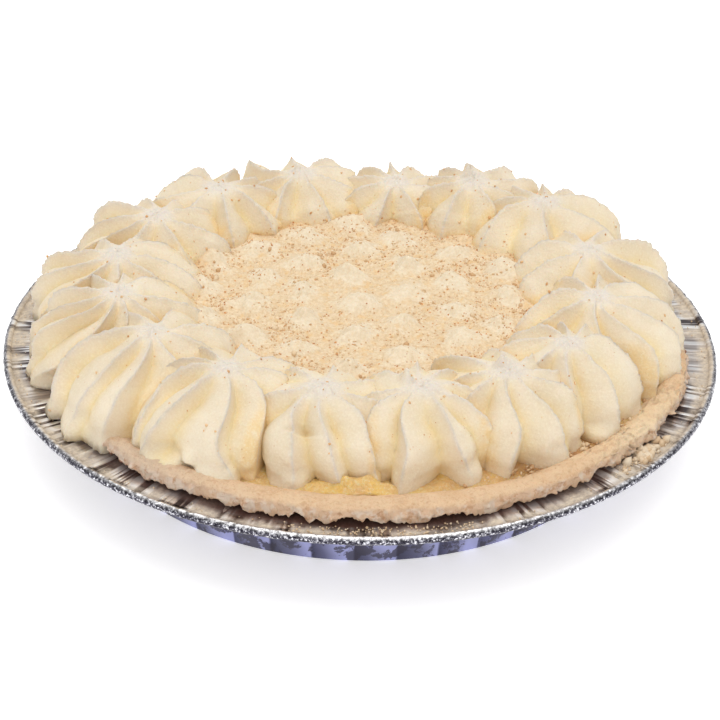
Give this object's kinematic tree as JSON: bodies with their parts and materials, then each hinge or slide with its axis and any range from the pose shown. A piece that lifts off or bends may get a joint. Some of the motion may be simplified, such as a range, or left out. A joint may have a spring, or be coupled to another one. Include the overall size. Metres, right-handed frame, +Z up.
{
  "type": "banana cream pie",
  "caption": "Whole banana cream pie in its foil tin: shortcrust shell, custard filling, a bed of low piped cream peaks and a ring of tall piped cream rosettes.",
  "frame": {"origin": "middle of the flat underside of the tin, which is the bottom centre of the object's box", "axes": "+Z up out of the pie; +X to the right and -Y towards the camera as the reference picture shows it; bearings in the source run counter-clockwise from +X"},
  "size_m": [0.244, 0.244, 0.0608],
  "materials": {
    "foil": "thin pressed foil, bright and crinkled at the rim, with radial creases, cool grey in the fluted wall",
    "pastry": null,
    "custard": null,
    "bed_cream": null,
    "rosette_cream": null
  },
  "bodies": {
    "root": {"tin": "foil", "crust": "pastry", "filling": "custard", "cream_bed": "bed_cream", "rosette_01": "rosette_cream", "rosette_02": "rosette_cream", "rosette_03": "rosette_cream", "rosette_04": "rosette_cream", "rosette_05": "rosette_cream", "rosette_06": "rosette_cream", "rosette_07": "rosette_cream", "rosette_08": "rosette_cream", "rosette_09": "rosette_cream", "rosette_10": "rosette_cream", "rosette_11": "rosette_cream", "rosette_12": "rosette_cream", "rosette_13": "rosette_cream", "rosette_14": "rosette_cream", "rosette_15": "rosette_cream", "rosette_16": "rosette_cream"}
  },
  "joints": []
}
